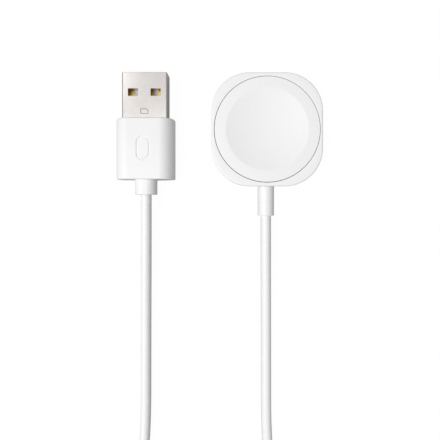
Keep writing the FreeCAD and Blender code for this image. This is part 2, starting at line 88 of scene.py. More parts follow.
# %% [markdown]
# ## Cord
# A cord of this kind is a round jacket of soft plastic over four thin wires. It is one metre long,
# and it is a single smooth line from the head, along the table, round its coil and back to the
# plug. It could be a tube mesh swept along measured points, but then every bend would show how
# finely it was measured. A NURBS spline suits it better: a few listed points give soft bends, and
# the coil is only more points of the same spline.

# %% Facts and route of the cord
cord_diameter = 2.85
cord_level = 1.445
head_route = [
    (0.0, -11.5, 3.75),
    (0.0, -31.0, 3.75),
    (0.30, -56.0, cord_level),
    (0.34, -92.0, cord_level),
]
plug_route = [
    (-32.4, -8.8, 3.9),
    (-32.4, -27.5, 3.9),
    (-33.02, -52.0, cord_level),
    (-33.06, -92.0, cord_level),
]

# %% [markdown]
# The coil lies in two layers, one wound inwards and the other outwards, so that both ends leave it
# from its outer turns. One flat spiral would leave an end in its middle. The spline runs a little
# inside its own points. With 16 points to a turn that is the cosine of half a step, so the radius
# is divided by it.

# %% Points round the coil
coil_centre = (-16.36, -118.0)
coil_mean_radius = 16.65
coil_start, coil_finish = math.radians(12.0), math.radians(168.0)
coil_windings = 8
coil_layers = (1.925, 4.775)
points_per_turn = 16
spline_shrink = 0.981


def coil_route():
    """Points round the coil: inwards in the lower layer, up, and outwards in the upper layer."""
    swept = coil_start + coil_windings * 2 * math.pi - coil_finish
    turns = swept / (2 * math.pi)
    steps = round(turns * points_per_turn)
    inner = coil_mean_radius - cord_diameter * turns / 4
    low, high = coil_layers
    points = []
    for step in range(steps + 1):
        share = step / steps
        angle = coil_start - swept * share
        radius = (inner + cord_diameter * turns * abs(share - 0.5)) / spline_shrink
        climb = min(max((share - 0.5) * turns * 2 + 0.5, 0.0), 1.0)
        level = low + (high - low) * climb * climb * (3 - 2 * climb)
        x = coil_centre[0] + radius * math.cos(angle)
        y = coil_centre[1] + radius * math.sin(angle)
        points.append((x, y, level))
    return points


coil = coil_route()
print("points in the coil", len(coil))

# %% Lay the cord
smooth_steps = 10


def linked(name, data):
    """A new object that shows this mesh or curve."""
    thing = bpy.data.objects.new(name, data)
    bpy.context.scene.collection.objects.link(thing)
    return thing


def laid_cord(name, points):
    """A round cord along one NURBS spline through the room, with these control points."""
    curve = bpy.data.curves.new(name, "CURVE")
    curve.dimensions = "3D"
    curve.resolution_u = smooth_steps
    curve.bevel_depth = 1.0
    curve.bevel_resolution = smooth_steps
    curve.use_fill_caps = True
    spline = curve.splines.new("NURBS")
    spline.points.add(len(points) - 1)
    for place, point in zip(points, spline.points):
        point.co = (*(Vector(place) * MM), 1.0)
        point.radius = cord_diameter / 2 * MM
    spline.order_u = 3
    spline.use_endpoint_u = True
    return linked(name, curve)


cord = laid_cord("cord", head_route + coil + plug_route[::-1])
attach(cord, "root")
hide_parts("cord_head_run", "cord_plug_run", "cord_coil")
print("cord points", len(head_route) + len(coil) + len(plug_route))

# %% [markdown]
# ## Table and light
# The cable lies on a white table that melts into a white background. A stronger lamp would whiten
# the table, but it would bleach the cable as well. So the table's paint takes the shadow of the
# cable and throws a little light back up, and the camera sees that paint through a veil of even
# white, placed with Light Path. Metal mirrors a thin share of the same veil, which is enough to
# light the steel without washing out the round flanks of the white plastic. The veil lights
# nothing directly, so Cycles is told not to aim rays at it as at a lamp, which would only leave
# specks on the cord.

# %% Helpers for colours and shader nodes
def white(level, warmth=0.0):
    """A grey near white, with a little red and less blue where it is warm."""
    return (level * (1 + warmth), level, level * (1 - warmth), 1)


def math_node(tree, operation, *values):
    """The result of a math node whose inputs are sockets or plain numbers."""
    node = tree.nodes.new("ShaderNodeMath")
    node.operation = operation
    for slot, value in zip(node.inputs, values):
        if isinstance(value, (int, float)):
            slot.default_value = value
        else:
            tree.links.new(value, slot)
    return node.outputs[0]


def ray_kind(tree, *kinds):
    """One for rays of any of these kinds, and nought for all others."""
    path = tree.nodes.new("ShaderNodeLightPath")
    share = path.outputs[kinds[0]]
    for kind in kinds[1:]:
        share = math_node(tree, "MAXIMUM", share, path.outputs[kind])
    return share


# %% Table
bpy.context.scene.view_settings.view_transform = "Standard"
table_reach = 900 * MM

table_mesh = bpy.data.meshes.new("table")
corners = [(x * table_reach, y * table_reach, 0) for x, y in ((-1, -1), (1, -1), (1, 1), (-1, 1))]
table_mesh.from_pydata(corners, [], [(0, 1, 2, 3)])
table = linked("table", table_mesh)
print("table in mm", in_mm(table.dimensions))

# %% Paint and veil of the table
table_paint = 0.36
table_matt = 0.9
table_veil = 0.88
mirrored_share = 0.14
veil_white = 1.1

white_table = bpy.data.materials.new("white_table")
white_table.use_nodes = True
white_table.cycles.emission_sampling = "NONE"
tree = white_table.node_tree
paint = tree.nodes["Principled BSDF"]
paint.inputs["Base Color"].default_value = white(table_paint)
paint.inputs["Roughness"].default_value = table_matt
paint.inputs["Specular IOR Level"].default_value = 0.0
glow = tree.nodes.new("ShaderNodeEmission")
glow.inputs["Color"].default_value = white(veil_white)
mirrored = math_node(tree, "MULTIPLY", ray_kind(tree, "Is Glossy Ray"), table_veil * mirrored_share)
seen = ray_kind(tree, "Is Camera Ray", "Is Transmission Ray")
veil = math_node(tree, "MULTIPLY_ADD", seen, table_veil, mirrored)
both = tree.nodes.new("ShaderNodeMixShader")
tree.links.new(veil, both.inputs["Fac"])
tree.links.new(paint.outputs["BSDF"], both.inputs[1])
tree.links.new(glow.outputs["Emission"], both.inputs[2])
tree.links.new(both.outputs["Shader"], tree.nodes["Material Output"].inputs["Surface"])
table_mesh.materials.append(white_table)
print("table paint", table_paint, "veil", table_veil, "of which metal mirrors", mirrored_share)

# %% [markdown]
# One broad soft lamp stands to the left. A bare lamp would leave the right flanks black, so a sky
# fills them. It is dim near the horizon, because a white room all round would flatten the round
# forms. Three weak lamps hang round the spot that the flat face of the steel mirrors, so the steel
# is a little lighter towards its edges than in its middle.

# %% Sky
horizon_share = 0.25
sky_fill = 0.59


def raised(tree, value, lowest):
    """A value from nought to one, squeezed to run from the lowest to one."""
    node = tree.nodes.new("ShaderNodeMapRange")
    node.inputs["To Min"].default_value = lowest
    tree.links.new(value, node.inputs["Value"])
    return node.outputs["Result"]


world = bpy.data.worlds.new("studio")
bpy.context.scene.world = world
world.use_nodes = True
tree = world.node_tree
background = tree.nodes["Background"]
background.inputs["Color"].default_value = white(1)
upward = tree.nodes.new("ShaderNodeSeparateXYZ")
tree.links.new(tree.nodes.new("ShaderNodeTexCoord").outputs["Generated"], upward.inputs[0])
gradient = raised(tree, upward.outputs["Z"], horizon_share)
level = raised(tree, ray_kind(tree, "Is Glossy Ray", "Is Transmission Ray"), sky_fill)
lit = math_node(tree, "MULTIPLY", gradient, level)
strength = math_node(tree, "MAXIMUM", lit, ray_kind(tree, "Is Camera Ray"))
tree.links.new(strength, background.inputs["Strength"])
print("sky at the horizon", horizon_share, "and on matt surfaces", sky_fill)

# %% Lamps
cable_middle = Vector((-16.0, -20.0, 0.0)) * MM
hang_height = 0.80


def soft_lamp(name, place, aim, width, power):
    """A square lamp that faces a spot. Places and width are in metres, and its power in watts."""
    lamp = bpy.data.lights.new(name, "AREA")
    lamp.shape = "SQUARE"
    lamp.size = width
    lamp.energy = power
    thing = linked(name, lamp)
    thing.location = place
    thing.rotation_mode = "QUATERNION"
    thing.rotation_quaternion = (Vector(aim) - Vector(place)).to_track_quat("-Z", "Y")


soft_lamp("key", (-0.474, -0.187, 0.696), cable_middle, 0.50, 4.67)
for name, x, y, width, power in (
    ("steel_low", -0.22, 0.045, 0.22, 0.22),
    ("steel_side", -0.04, 0.14, 0.16, 0.14),
    ("steel_corner", -0.40, 0.37, 0.25, 0.26),
):
    soft_lamp(name, (x, y, hang_height), (x, y, 0.0), width, power)

# %% [markdown]
# ## Shared effects
# Real plastic and metal are never one flat tone. A mould leaves a fine grain and slow swirls, a
# rolling mill leaves lines along the strip, and handling leaves faint smears that change only the
# gloss. Each effect could be built again in every material, but then a mend in one would miss the
# others. So each is a node group with named sockets, and every finish places it with its own
# values. Sizes are given in millimetres and turned into texture scales inside the group.

# %% Helpers for node groups
FLOAT = "NodeSocketFloat"
COLOUR = "NodeSocketColor"


def node_group(name, inputs, outputs):
    """An empty shader group with named sockets. Inputs are (name, socket kind, value)."""
    group = bpy.data.node_groups.new(name, "ShaderNodeTree")
    for label, kind, value in inputs:
        socket = group.interface.new_socket(label, in_out="INPUT", socket_type=kind)
        socket.default_value = value
    for label, kind in outputs:
        group.interface.new_socket(label, in_out="OUTPUT", socket_type=kind)
    print("node group", name, "with inputs", [label for label, kind, value in inputs])
    return group, group.nodes.new("NodeGroupInput"), group.nodes.new("NodeGroupOutput")


def place_on_object(tree):
    """The place of a spot on its own object, which doesn't slide when the camera moves."""
    return tree.nodes.new("ShaderNodeTexCoord").outputs["Object"]


def noise_of_size(group, millimetres, detail, position=None):
    """A noise texture whose spots are about this many millimetres across."""
    noise = group.nodes.new("ShaderNodeTexNoise")
    noise.inputs["Detail"].default_value = detail
    if position is None:
        position = place_on_object(group)
    group.links.new(position, noise.inputs["Vector"])
    group.links.new(math_node(group, "DIVIDE", 1 / MM, millimetres), noise.inputs["Scale"])
    return noise.outputs["Fac"]


def mixed_colour(tree, share, first, second):
    """A blend of two colours, each of them a socket or a plain colour."""
    node = tree.nodes.new("ShaderNodeMix")
    node.data_type = "RGBA"
    tree.links.new(share, node.inputs["Factor"])
    for slot, colour in zip(node.inputs[6:8], (first, second)):
        if isinstance(colour, tuple):
            slot.default_value = colour
        else:
            tree.links.new(colour, slot)
    return node.outputs[2]


# %% Mould grain
def mould_grain_group():
    """The height of a moulded skin: a fine grain, and slow swirls under it."""
    group, given, result = node_group(
        "Mould grain",
        [("Grain Size", FLOAT, 0.08), ("Swirl Size", FLOAT, 4.0), ("Swirl Share", FLOAT, 0.4)],
        [("Height", FLOAT)],
    )
    grain = noise_of_size(group, given.outputs["Grain Size"], detail=2.0)
    swirl = noise_of_size(group, given.outputs["Swirl Size"], detail=1.0)
    mixed = group.nodes.new("ShaderNodeMix")
    group.links.new(given.outputs["Swirl Share"], mixed.inputs["Factor"])
    group.links.new(grain, mixed.inputs["A"])
    group.links.new(swirl, mixed.inputs["B"])
    group.links.new(mixed.outputs["Result"], result.inputs["Height"])
    return group


mould_grain = mould_grain_group()

# %% Smears and tone drift
def smears_group():
    """Roughness that wanders a little where fingers and cloths have been."""
    group, given, result = node_group(
        "Smears",
        [("Roughness", FLOAT, 0.4), ("Spread", FLOAT, 0.1), ("Size", FLOAT, 3.0)],
        [("Roughness", FLOAT)],
    )
    patch = noise_of_size(group, given.outputs["Size"], detail=4.0)
    off_centre = math_node(group, "SUBTRACT", patch, 0.5)
    swing = math_node(group, "MULTIPLY", off_centre, given.outputs["Spread"])
    doubled = math_node(group, "MULTIPLY", swing, 2.0)
    total = math_node(group, "ADD", doubled, given.outputs["Roughness"])
    group.links.new(total, result.inputs["Roughness"])
    return group


def tone_drift_group():
    """A colour that drifts slowly towards a second colour."""
    group, given, result = node_group(
        "Tone drift",
        [("Colour", COLOUR, (1, 1, 1, 1)), ("Drift Colour", COLOUR, (1, 1, 1, 1)),
         ("Size", FLOAT, 6.0)],
        [("Colour", COLOUR)],
    )
    patch = noise_of_size(group, given.outputs["Size"], detail=3.0)
    tone = mixed_colour(group, patch, given.outputs["Colour"], given.outputs["Drift Colour"])
    group.links.new(tone, result.inputs["Colour"])
    return group


smears = smears_group()
tone_drift = tone_drift_group()

# %% Drawn lines
def drawn_lines_group():
    """The height of fine lines along Y, as rolling leaves them on a strip of metal."""
    group, given, result = node_group(
        "Drawn lines",
        [("Line Size", FLOAT, 0.05), ("Stretch", FLOAT, 30.0)],
        [("Height", FLOAT)],
    )
    split = group.nodes.new("ShaderNodeSeparateXYZ")
    joined = group.nodes.new("ShaderNodeCombineXYZ")
    group.links.new(place_on_object(group), split.inputs[0])
    stretched = math_node(group, "DIVIDE", split.outputs["Y"], given.outputs["Stretch"])
    group.links.new(split.outputs["X"], joined.inputs["X"])
    group.links.new(stretched, joined.inputs["Y"])
    group.links.new(split.outputs["Z"], joined.inputs["Z"])
    lines = noise_of_size(group, given.outputs["Line Size"], detail=3.0, position=joined.outputs[0])
    group.links.new(lines, result.inputs["Height"])
    return group


drawn_lines = drawn_lines_group()

# %% [markdown]
# The face sits in the shell with a gap a tenth of a millimetre wide. Its walls are greyed with
# painted shade, so the gap reads darker than its depth alone makes it. A thin grey ring would draw
# that too, but nothing like it lies there. Both mouldings use one mask instead: a spot counts when
# its distance from the axis of the head and its height are both within limits. The lower limit
# matters as much as the upper, or the mask would draw a ring on the base as well.

# %% Mask for the gap round the face
def between(tree, value, low, high):
    """One where a value lies between two limits, and nought elsewhere."""
    above = math_node(tree, "GREATER_THAN", value, low)
    below = math_node(tree, "LESS_THAN", value, high)
    return math_node(tree, "MULTIPLY", above, below)


def place_in_mm(tree):
    """The three coordinates of a spot on the object, in millimetres."""
    split = tree.nodes.new("ShaderNodeSeparateXYZ")
    tree.links.new(place_on_object(tree), split.inputs[0])
    return [math_node(tree, "DIVIDE", split.outputs[axis], MM) for axis in "XYZ"]


def gap_walls_group():
    """A mask for the walls of a narrow round gap about the axis of the head, where painted shade
    goes.
    """
    group, given, result = node_group(
        "Gap walls",
        [("Inner Radius", FLOAT, 13.0), ("Outer Radius", FLOAT, 14.0),
         ("Lowest", FLOAT, 6.0), ("Highest", FLOAT, 8.0)],
        [("Mask", FLOAT)],
    )
    x, y, z = place_in_mm(group)
    x_squared = math_node(group, "MULTIPLY", x, x)
    y_squared = math_node(group, "MULTIPLY", y, y)
    radius = math_node(group, "SQRT", math_node(group, "ADD", x_squared, y_squared))
    ring = between(group, radius, given.outputs["Inner Radius"], given.outputs["Outer Radius"])
    layer = between(group, z, given.outputs["Lowest"], given.outputs["Highest"])
    group.links.new(math_node(group, "MULTIPLY", ring, layer), result.inputs["Mask"])
    return group


gap_walls = gap_walls_group()

# %% [markdown]
# ## Finishes
# Every finish starts from one Principled shader. The constant facts of a material, such as how
# metallic it is, are set on the shader itself. What changes over the surface comes from the
# groups: tone into Base Color, smears into Roughness and grain into a Bump. Image textures would
# need an unwrapped mesh and would blur close up. Textures worked out from the place on the object
# need neither, and keep their true size.

# %% A finish and its effects
class Finish:
    """A material with its shader, and short ways to place the shared effects in it."""

    def __init__(self, name):
        self.material = bpy.data.materials.new(name)
        self.material.use_nodes = True
        self.tree = self.material.node_tree
        self.shader = self.tree.nodes["Principled BSDF"]
        print("finish", name)

    def place(self, group, **values):
        node = self.tree.nodes.new("ShaderNodeGroup")
        node.node_tree = group
        for label, value in values.items():
            node.inputs[label.replace("_", " ").title()].default_value = value
        return node

    def constants(self, **values):
        for label, value in values.items():
            self.shader.inputs[label.replace("_", " ")].default_value = value

    def tone(self, colour, drift, size):
        node = self.place(tone_drift, colour=colour, drift_colour=drift, size=size)
        self.tree.links.new(node.outputs["Colour"], self.shader.inputs["Base Color"])

    def retoned(self, mask, colour):
        """Another colour where a mask is one, over the tone that was placed before."""
        base = self.shader.inputs["Base Color"]
        blend = mixed_colour(self.tree, mask, base.links[0].from_socket, colour)
        self.tree.links.new(blend, base)

    def smeared(self, roughness, spread, size):
        node = self.place(smears, roughness=roughness, spread=spread, size=size)
        self.tree.links.new(node.outputs["Roughness"], self.shader.inputs["Roughness"])

    def bumped(self, height, depth):
        """Height in a socket from nought to one, and its real depth in millimetres."""
        bump = self.tree.nodes.new("ShaderNodeBump")
        bump.inputs["Strength"].default_value = 1.0
        bump.inputs["Distance"].default_value = depth * MM
        self.tree.links.new(height, bump.inputs["Height"])
        self.tree.links.new(bump.outputs["Normal"], self.shader.inputs["Normal"])


# %% Moulded plastic and rolled metal
plastic_drift_size, plastic_smear_size, plastic_spread = 5.0, 3.0, 0.06
metal_drift_size, metal_smear_size, metal_spread = 2.5, 2.0, 0.08
grains_to_a_swirl, swirl_share = 40, 0.4


def moulded(name, colour, drift, roughness, grain, depth):
    """A moulded plastic: its colours, how matt it is, and the size and depth of its grain."""
    finish = Finish(name)
    finish.tone(colour, drift, plastic_drift_size)
    finish.smeared(roughness, plastic_spread, plastic_smear_size)
    swirl = grain * grains_to_a_swirl
    height = finish.place(mould_grain, grain_size=grain, swirl_size=swirl, swirl_share=swirl_share)
    finish.bumped(height.outputs["Height"], depth)
    return finish


def rolled(name, colour, drift, roughness, line, depth, spread=metal_spread):
    """A rolled metal strip: its colours, roughness, and the size and depth of its lines."""
    finish = Finish(name)
    finish.constants(Metallic=1.0)
    finish.tone(colour, drift, metal_drift_size)
    finish.smeared(roughness, spread, metal_smear_size)
    finish.bumped(finish.place(drawn_lines, line_size=line).outputs["Height"], depth)
    return finish


# %% [markdown]
# The white pieces come from different moulds, so they differ a little: the face is polished, the
# shell is matt, and the cord and its sleeve have a coarser skin. The tongue in the plug is a warmer
# white, and the mould that holds the wires is a milky plastic that nobody sees. One white would do
# from afar, but close up the pieces would run together. So each has its own row of values.

# %% White plastics
finishes = {}
for name, tone, drift, roughness, grain, depth in (
    ("shell_white", white(0.885), white(0.87), 0.50, 0.10, 0.0006),
    ("face_white", white(0.885), white(0.87), 0.36, 0.08, 0.0006),
    ("sleeve_white", white(0.88), white(0.86), 0.46, 0.12, 0.0015),
    ("cord_white", white(0.885), white(0.865), 0.48, 0.14, 0.0020),
    ("plug_body_white", white(0.878), white(0.863), 0.45, 0.10, 0.0010),
    ("carrier_plastic", white(0.80, 0.07), white(0.77, 0.07), 0.45, 0.08, 0.0008),
    ("inner_plastic", white(0.74, 0.03), white(0.68, 0.04), 0.40, 0.20, 0.0030),
):
    finishes[name] = moulded(name, tone, drift, roughness, grain, depth)

# %% [markdown]
# The painted shade of the gap lies on both of its walls. Wide limits would be simpler, but they
# would draw a broad ring over the rims. So the mask runs from just inside the wall of the face to
# just outside the wall of its seat, and it stops a little below each rim.

# %% Painted shade in the gap round the face
gap_inside, gap_outside = 13.69, 13.90
gap_floor = 6.10
# painted shade: this grey on the walls of the gap stands in for the shade inside it
gap_shade_tone = white(0.54, 0.02)


def paint_gap_shade(name, highest):
    """Paints shade on the walls of the gap in one finish, from the floor of the gap up to a height.
    """
    mask = finishes[name].place(
        gap_walls, inner_radius=gap_inside, outer_radius=gap_outside,
        lowest=gap_floor, highest=highest,
    )
    finishes[name].retoned(mask.outputs["Mask"], gap_shade_tone)
    print(name, "greyed in the gap from", gap_floor, "to", highest)


paint_gap_shade("shell_white", 7.86)
paint_gap_shade("face_white", 7.97)

# %% [markdown]
# The shell of the plug is nickel plated steel strip, brushed so finely that it mirrors softly. The
# contacts are gold plated and a little duller. The magnet is nickel plated as well, and the keeper
# behind it is bare steel. A perfect mirror would be simpler, but it would show hard pictures of the
# lamps. So each metal has fine lines and a roughness of its own.

# %% Metals
finishes["plug_steel"] = rolled(
    "plug_steel", (0.65, 0.62, 0.60, 1), (0.64, 0.61, 0.59, 1), 0.17, 0.03, 0.0003, spread=0.03
)
for name, tone, drift, roughness, line, depth in (
    # The gold is darker than bare gold plating: painted shade for the shadow on the contacts inside
    # the windows of the shell.
    ("contact_gold", (0.68, 0.45, 0.13, 1), (0.62, 0.40, 0.10, 1), 0.42, 0.03, 0.0003),
    ("magnet_nickel", (0.66, 0.64, 0.60, 1), (0.60, 0.58, 0.55, 1), 0.20, 0.05, 0.0004),
    ("keeper_steel", (0.56, 0.57, 0.58, 1), (0.50, 0.51, 0.52, 1), 0.38, 0.04, 0.0008),
):
    finishes[name] = rolled(name, tone, drift, roughness, line, depth)

# %% [markdown]
# The small tab in the shell is slit on three sides, and the fourth is only a crease where the tab
# was pressed. The bottom of the crease is darkened with painted shade, so it shows as a darker
# line. A second material on a few faces could draw it, but the solids keep the faces they came
# with. So the mask is a small box round the crease, worked out from the place of the tab.

# %% Painted shade in the crease of the tab
crease_across = (-33.28, -31.52)
crease_along = (4.425, 4.545)
crease_levels = (5.85, 6.13)
# painted shade: this dark steel tone stands in for the shade at the bottom of the crease
crease_shade_steel = (0.20, 0.19, 0.18, 1)


def paint_crease_shade(finish):
    """Darkens the metal inside the box round the crease with painted shade."""
    x, y, z = place_in_mm(finish.tree)
    mask = between(finish.tree, x, *crease_across)
    mask = math_node(finish.tree, "MULTIPLY", mask, between(finish.tree, y, *crease_along))
    mask = math_node(finish.tree, "MULTIPLY", mask, between(finish.tree, z, *crease_levels))
    finish.retoned(mask, crease_shade_steel)


paint_crease_shade(finishes["plug_steel"])
print("crease darkened over", round(crease_along[1] - crease_along[0], 2), "mm of the strip")

# %% [markdown]
# Nobody sees the inner pieces in the picture, and one grey for all of them would do there. With
# the colours that such parts usually have, an opened head can be read at a glance: red and black
# wires, a green board, black chips, and dark grey ferrite behind the coil.

# %% Wires, board and what is on it
for name, tone, drift, roughness, grain, depth in (
    ("wire_red", (0.52, 0.03, 0.02, 1), (0.46, 0.03, 0.02, 1), 0.40, 0.10, 0.0010),
    ("wire_black", (0.03, 0.03, 0.03, 1), (0.04, 0.04, 0.04, 1), 0.42, 0.10, 0.0010),
    ("chip_black", (0.035, 0.035, 0.037, 1), (0.05, 0.05, 0.05, 1), 0.55, 0.05, 0.0020),
    ("ferrite_grey", (0.07, 0.07, 0.075, 1), (0.10, 0.10, 0.10, 1), 0.62, 0.09, 0.0040),
    ("board_green", (0.02, 0.17, 0.07, 1), (0.03, 0.24, 0.10, 1), 0.30, 0.30, 0.0020),
):
    finishes[name] = moulded(name, tone, drift, roughness, grain, depth)

# %% [markdown]
# Three inner finishes have a pattern of their own. The coil is wound from enamelled wire, so fine
# rings run round its axis. Each capacitor is a tan ceramic block with tinned ends, which its place
# along Y tells apart. The adhesive ring is a clear film that lets light through. Modelling every
# turn of wire would cost a hundred thousand faces that nobody sees, so a wave texture stands in.

# %% Coil
wire_pitch = 0.16
wire_depth = 0.03
period_at_scale_one = 0.314


def wave_scale(pitch):
    """The Scale at which a wave texture repeats every so many millimetres."""
    return period_at_scale_one / (pitch * MM)


def wound_copper():
    """Enamelled wire in a flat spiral: rings about the axis of the head."""
    tones = (0.62, 0.26, 0.12, 1), (0.55, 0.21, 0.09, 1)
    finish = rolled("coil_copper", *tones, 0.30, 0.03, 0.0002)
    wave = finish.tree.nodes.new("ShaderNodeTexWave")
    wave.wave_type = "RINGS"
    wave.rings_direction = "Z"
    wave.inputs["Scale"].default_value = wave_scale(wire_pitch)
    finish.tree.links.new(place_on_object(finish.tree), wave.inputs["Vector"])
    finish.bumped(wave.outputs["Fac"], wire_depth)
    return finish


finishes["coil_copper"] = wound_copper()

# %% Capacitors and adhesive
tinned_from = 0.58
tin = (0.72, 0.71, 0.68, 1)


def tinned_ceramic():
    """A tan block with metal on both ends along Y."""
    tones = (0.50, 0.36, 0.20, 1), (0.46, 0.32, 0.17, 1)
    finish = moulded("capacitor_tan", *tones, 0.45, 0.06, 0.0010)
    y = place_in_mm(finish.tree)[1]
    low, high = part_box("capacitors")
    from_middle = math_node(finish.tree, "SUBTRACT", y, (low.y + high.y) / 2 / MM)
    distance = math_node(finish.tree, "ABSOLUTE", from_middle)
    ends = math_node(finish.tree, "GREATER_THAN", distance, tinned_from)
    finish.tree.links.new(ends, finish.shader.inputs["Metallic"])
    finish.retoned(ends, tin)
    return finish


def clear_film():
    """A thin layer of adhesive that most light passes through."""
    tones = (0.80, 0.78, 0.70, 1), (0.76, 0.74, 0.66, 1)
    finish = moulded("adhesive_clear", *tones, 0.20, 0.30, 0.0020)
    finish.constants(Transmission_Weight=0.6, IOR=1.47)
    return finish


finishes["capacitor_tan"] = tinned_ceramic()
finishes["adhesive_clear"] = clear_film()

# %% [markdown]
# The tie is a narrow strap of woven tape. Its threads are far larger than the grain of a moulding,
# and too many to model one by one. So it has a small weave of its own: two sets of waves that
# cross.

# %% Woven tape
thread_pitch = 0.45
thread_depth = 0.10


def woven_tape():
    """Soft white tape whose two sets of threads cross."""
    finish = Finish("tie_white")
    finish.tone(white(0.84), white(0.78), 2.0)
    finish.smeared(0.75, 0.05, 2.0)
    threads = []
    for direction in ("X", "DIAGONAL"):
        wave = finish.tree.nodes.new("ShaderNodeTexWave")
        wave.bands_direction = direction
        wave.inputs["Scale"].default_value = wave_scale(thread_pitch)
        finish.tree.links.new(place_on_object(finish.tree), wave.inputs["Vector"])
        threads.append(wave.outputs["Fac"])
    finish.bumped(math_node(finish.tree, "MULTIPLY", *threads), thread_depth)
    return finish


finishes["tie_white"] = woven_tape()

# %% [markdown]
# The record says which finish each solid takes. They could be given out by hand, but a loop over
# the record misses none. The pieces that are rebuilt further down get theirs when they are made.

# %% Give each solid its finish
for part in frame["record"]["subparts"]:
    mesh = frame["nodes"][part["node"]].data
    mesh.materials.clear()
    mesh.materials.append(finishes[part["material_slot"]].material)
cord.data.materials.append(finishes["cord_white"].material)

# %% [markdown]
# ## Skins over rings
# The head, its face, the sleeve, the plug body and the tie are all shapes whose sections change
# smoothly along one direction. Subdivision would round such shapes softly, but not to an exact
# size. So each is described as a list of rings, and one skin of quads joins every ring to the
# next. A ring is a rounded rectangle cut by evenly spaced rays from its centre, which also gives a
# circle when its corner is as large as its half width. So the square outside of the head can run
# into its round seat with the same number of points all the way.

# %% Rings
ring_points = 288


def ray_reach(angle, half_width, half_height, corner):
    """How far a ray from the centre goes before it meets a rounded rectangle."""
    sideways, upward = abs(math.cos(angle)), abs(math.sin(angle))
    flat_x, flat_y = half_width - corner, half_height - corner
    if sideways > 0 and upward * half_width / sideways <= flat_y:
        return half_width / sideways
    if upward > 0 and sideways * half_height / upward <= flat_x:
        return half_height / upward
    along = sideways * flat_x + upward * flat_y
    return along + math.sqrt(max(along**2 - flat_x**2 - flat_y**2 + corner**2, 0.0))


def flat_ring(half_width, half_height, corner, place, count=ring_points):
    """The points of one ring. place turns two distances in its plane into a point."""
    points = []
    for step in range(count):
        angle = 2 * math.pi * step / count
        reach = ray_reach(angle, half_width, half_height, corner) if half_width else 0.0
        points.append(Vector(place(reach * math.cos(angle), reach * math.sin(angle))))
    return points


print("a round ring reaches", [round(ray_reach(angle, 1, 1, 1), 3) for angle in (0.0, 0.5, 1.0)])

# %% Skins
weld_distance = 0.0005
crease_angle = math.radians(35)


def tidied(mesh):
    """Welds points that meet, turns the faces outwards and shades smooth up to a crease."""
    work = bmesh.new()
    work.from_mesh(mesh)
    bmesh.ops.remove_doubles(work, verts=work.verts, dist=weld_distance * MM)
    bmesh.ops.recalc_face_normals(work, faces=work.faces)
    work.to_mesh(mesh)
    work.free()
    mesh.shade_smooth()
    mesh.set_sharp_from_angle(angle=crease_angle)


def skin(name, rings, closed=False):
    """A skin over rings. Its ends are rings of no size, or the last ring joins the first."""
    count = len(rings[0])
    pairs = [(low, low + 1) for low in range(len(rings) - 1)]
    if closed:
        pairs.append((len(rings) - 1, 0))
    faces = []
    for low, high in pairs:
        for step in range(count):
            after = (step + 1) % count
            faces.append((low * count + step, low * count + after,
                          high * count + after, high * count + step))
    mesh = bpy.data.meshes.new(name)
    mesh.from_pydata([point * MM for ring in rings for point in ring], [], faces)
    tidied(mesh)
    return linked(name, mesh)


# %% Rounded profiles
def bent(corners, steps=6):
    """A profile with its corners rounded. Each corner is (first, second, radius)."""
    profile = []
    for index, (a, b, radius) in enumerate(corners):
        here = Vector((a, b))
        if not radius:
            profile.append(here)
            continue
        into = (here - Vector(corners[index - 1][:2])).normalized()
        out_of = (Vector(corners[(index + 1) % len(corners)][:2]) - here).normalized()
        half_turn = into.angle(out_of) / 2
        setback = radius * math.tan(half_turn)
        inward = (out_of - into).normalized()
        centre = here + inward * (radius / math.cos(half_turn))
        start = here - into * setback - centre
        side = 1 if into.x * out_of.y - into.y * out_of.x > 0 else -1
        for step in range(steps + 1):
            turned = side * 2 * half_turn * step / steps
            sine, cosine = math.sin(turned), math.cos(turned)
            spoke = Vector((cosine * start.x - sine * start.y, sine * start.x + cosine * start.y))
            profile.append(centre + spoke)
    return profile


print("points round one corner", len(bent([(0, 0, 0), (1, 0, 0.2), (1, 1, 0)])) - 2)

# %% Finish, cut and join a piece
def finished(piece, slot, *nodes):
    """Gives a rebuilt piece its finish and body, and hides the solids that it stands for."""
    piece.data.materials.append(finishes[slot].material)
    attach(piece, "root")
    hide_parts(*nodes)
    print(piece.name, "faces", len(piece.data.polygons), "box", in_mm(piece.dimensions))
    return piece


def combined(piece, other, operation):
    """Cuts another shape out of a piece, or joins it on, and removes that other shape."""
    change = piece.modifiers.new("change", "BOOLEAN")
    change.object = other
    change.operation = operation
    change.solver = "EXACT"
    bpy.context.view_layer.update()
    dressed = piece.evaluated_get(bpy.context.evaluated_depsgraph_get())
    mesh = bpy.data.meshes.new_from_object(dressed)
    piece.modifiers.clear()
    piece.data = mesh
    bpy.data.objects.remove(other)
    tidied(mesh)
    return piece


# %% [markdown]
# ## Head shell
# The head is a moulded cup. Outside it is a rounded square that narrows a little towards its base
# so that it leaves the mould. Inside it has a round seat for the face, a ledge, and a cavity with
# four posts that hold the board. A cube with bevels and cuts could come near, but its square
# outside and its round seat would meet in a tangle of faces. One profile from the middle of the
# base, up the outside, over the rim and down the inside makes all of it in clean rows, and only
# the cable hole and the posts are cut and joined after.

# %% Sizes of the head shell
seat_radius, seat_level = 13.87, 6.15
cavity_radius, head_floor = 12.50, 1.2
head_half_width, head_half_length = 14.55, 14.90
head_height, head_corner, head_draft = 7.9, 10.0, 0.35
base_round, rim_round = 1.2, 0.4
mouth_round, seat_round, ledge_round, floor_round = 0.06, 0.05, 0.15, 0.2
cord_at_head = 3.75
hole_radius, hole_run = 1.92, (-20, -11)
post_circle = 10.3
post_radius, post_levels = 1.2, (1.0, 2.2)
pin_radius, pin_levels = 0.5, (2.0, 3.4)


# %% Outside and inside of the head shell
def head_ring(inset, level):
    """A ring on the outside of the head, set in from its widest outline."""
    return flat_ring(
        head_half_width - inset, head_half_length - inset, head_corner - inset,
        lambda x, y: (x, y, level),
    )


def round_ring(radius, level):
    """A level circle about the axis of the head."""
    return flat_ring(radius, radius, radius, lambda x, y: (x, y, level))


